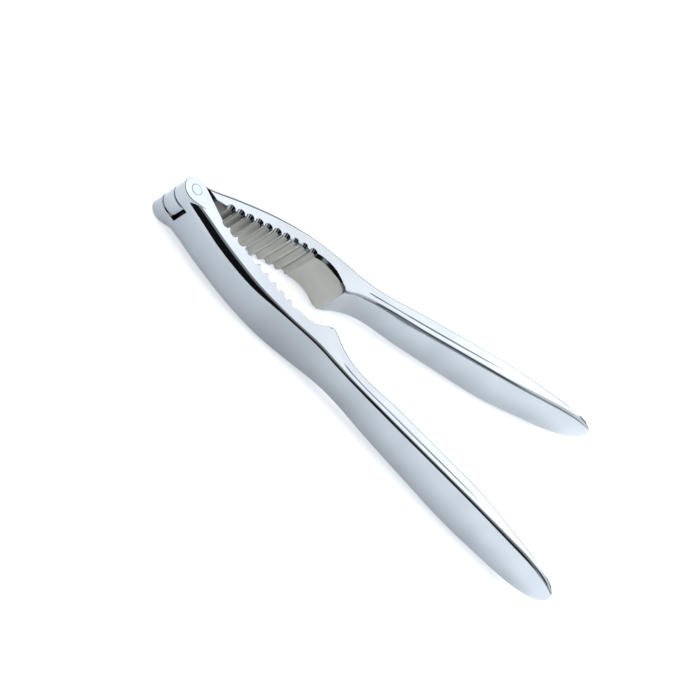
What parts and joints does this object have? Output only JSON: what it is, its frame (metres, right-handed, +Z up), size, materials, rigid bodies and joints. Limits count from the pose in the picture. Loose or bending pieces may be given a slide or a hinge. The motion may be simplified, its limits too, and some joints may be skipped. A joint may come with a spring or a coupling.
{
  "type": "nutcracker",
  "caption": "Lever nutcracker: two curved cast levers on one pin, with grooved jaws, a hollow behind a rounded lip, and long swelling handles.",
  "frame": {"origin": "centre of the footprint, on the plane that the nutcracker lies on", "axes": "+X along the centre line from the hinge to the handles' tips, +Y towards the rear lever, +Z up along the hinge pin"},
  "size_m": [0.1688, 0.0688, 0.0164],
  "materials": {
    "plated_casting": "polished chrome plate on a zinc casting, satin on the grooved jaw faces",
    "plated_pin": "polished chrome plate on a steel rivet"
  },
  "bodies": {
    "front": {"front_lever": "plated_casting", "hinge_pin": "plated_pin"},
    "rear": {"rear_lever": "plated_casting"}
  },
  "joints": [
    {"name": "lever_hinge", "type": "hinge", "parent": "front", "child": "rear", "pos_m": [-0.08024, 0, 0.0082], "axis": [0, 0, 1], "range_deg": [-12.8, 68]}
  ]
}
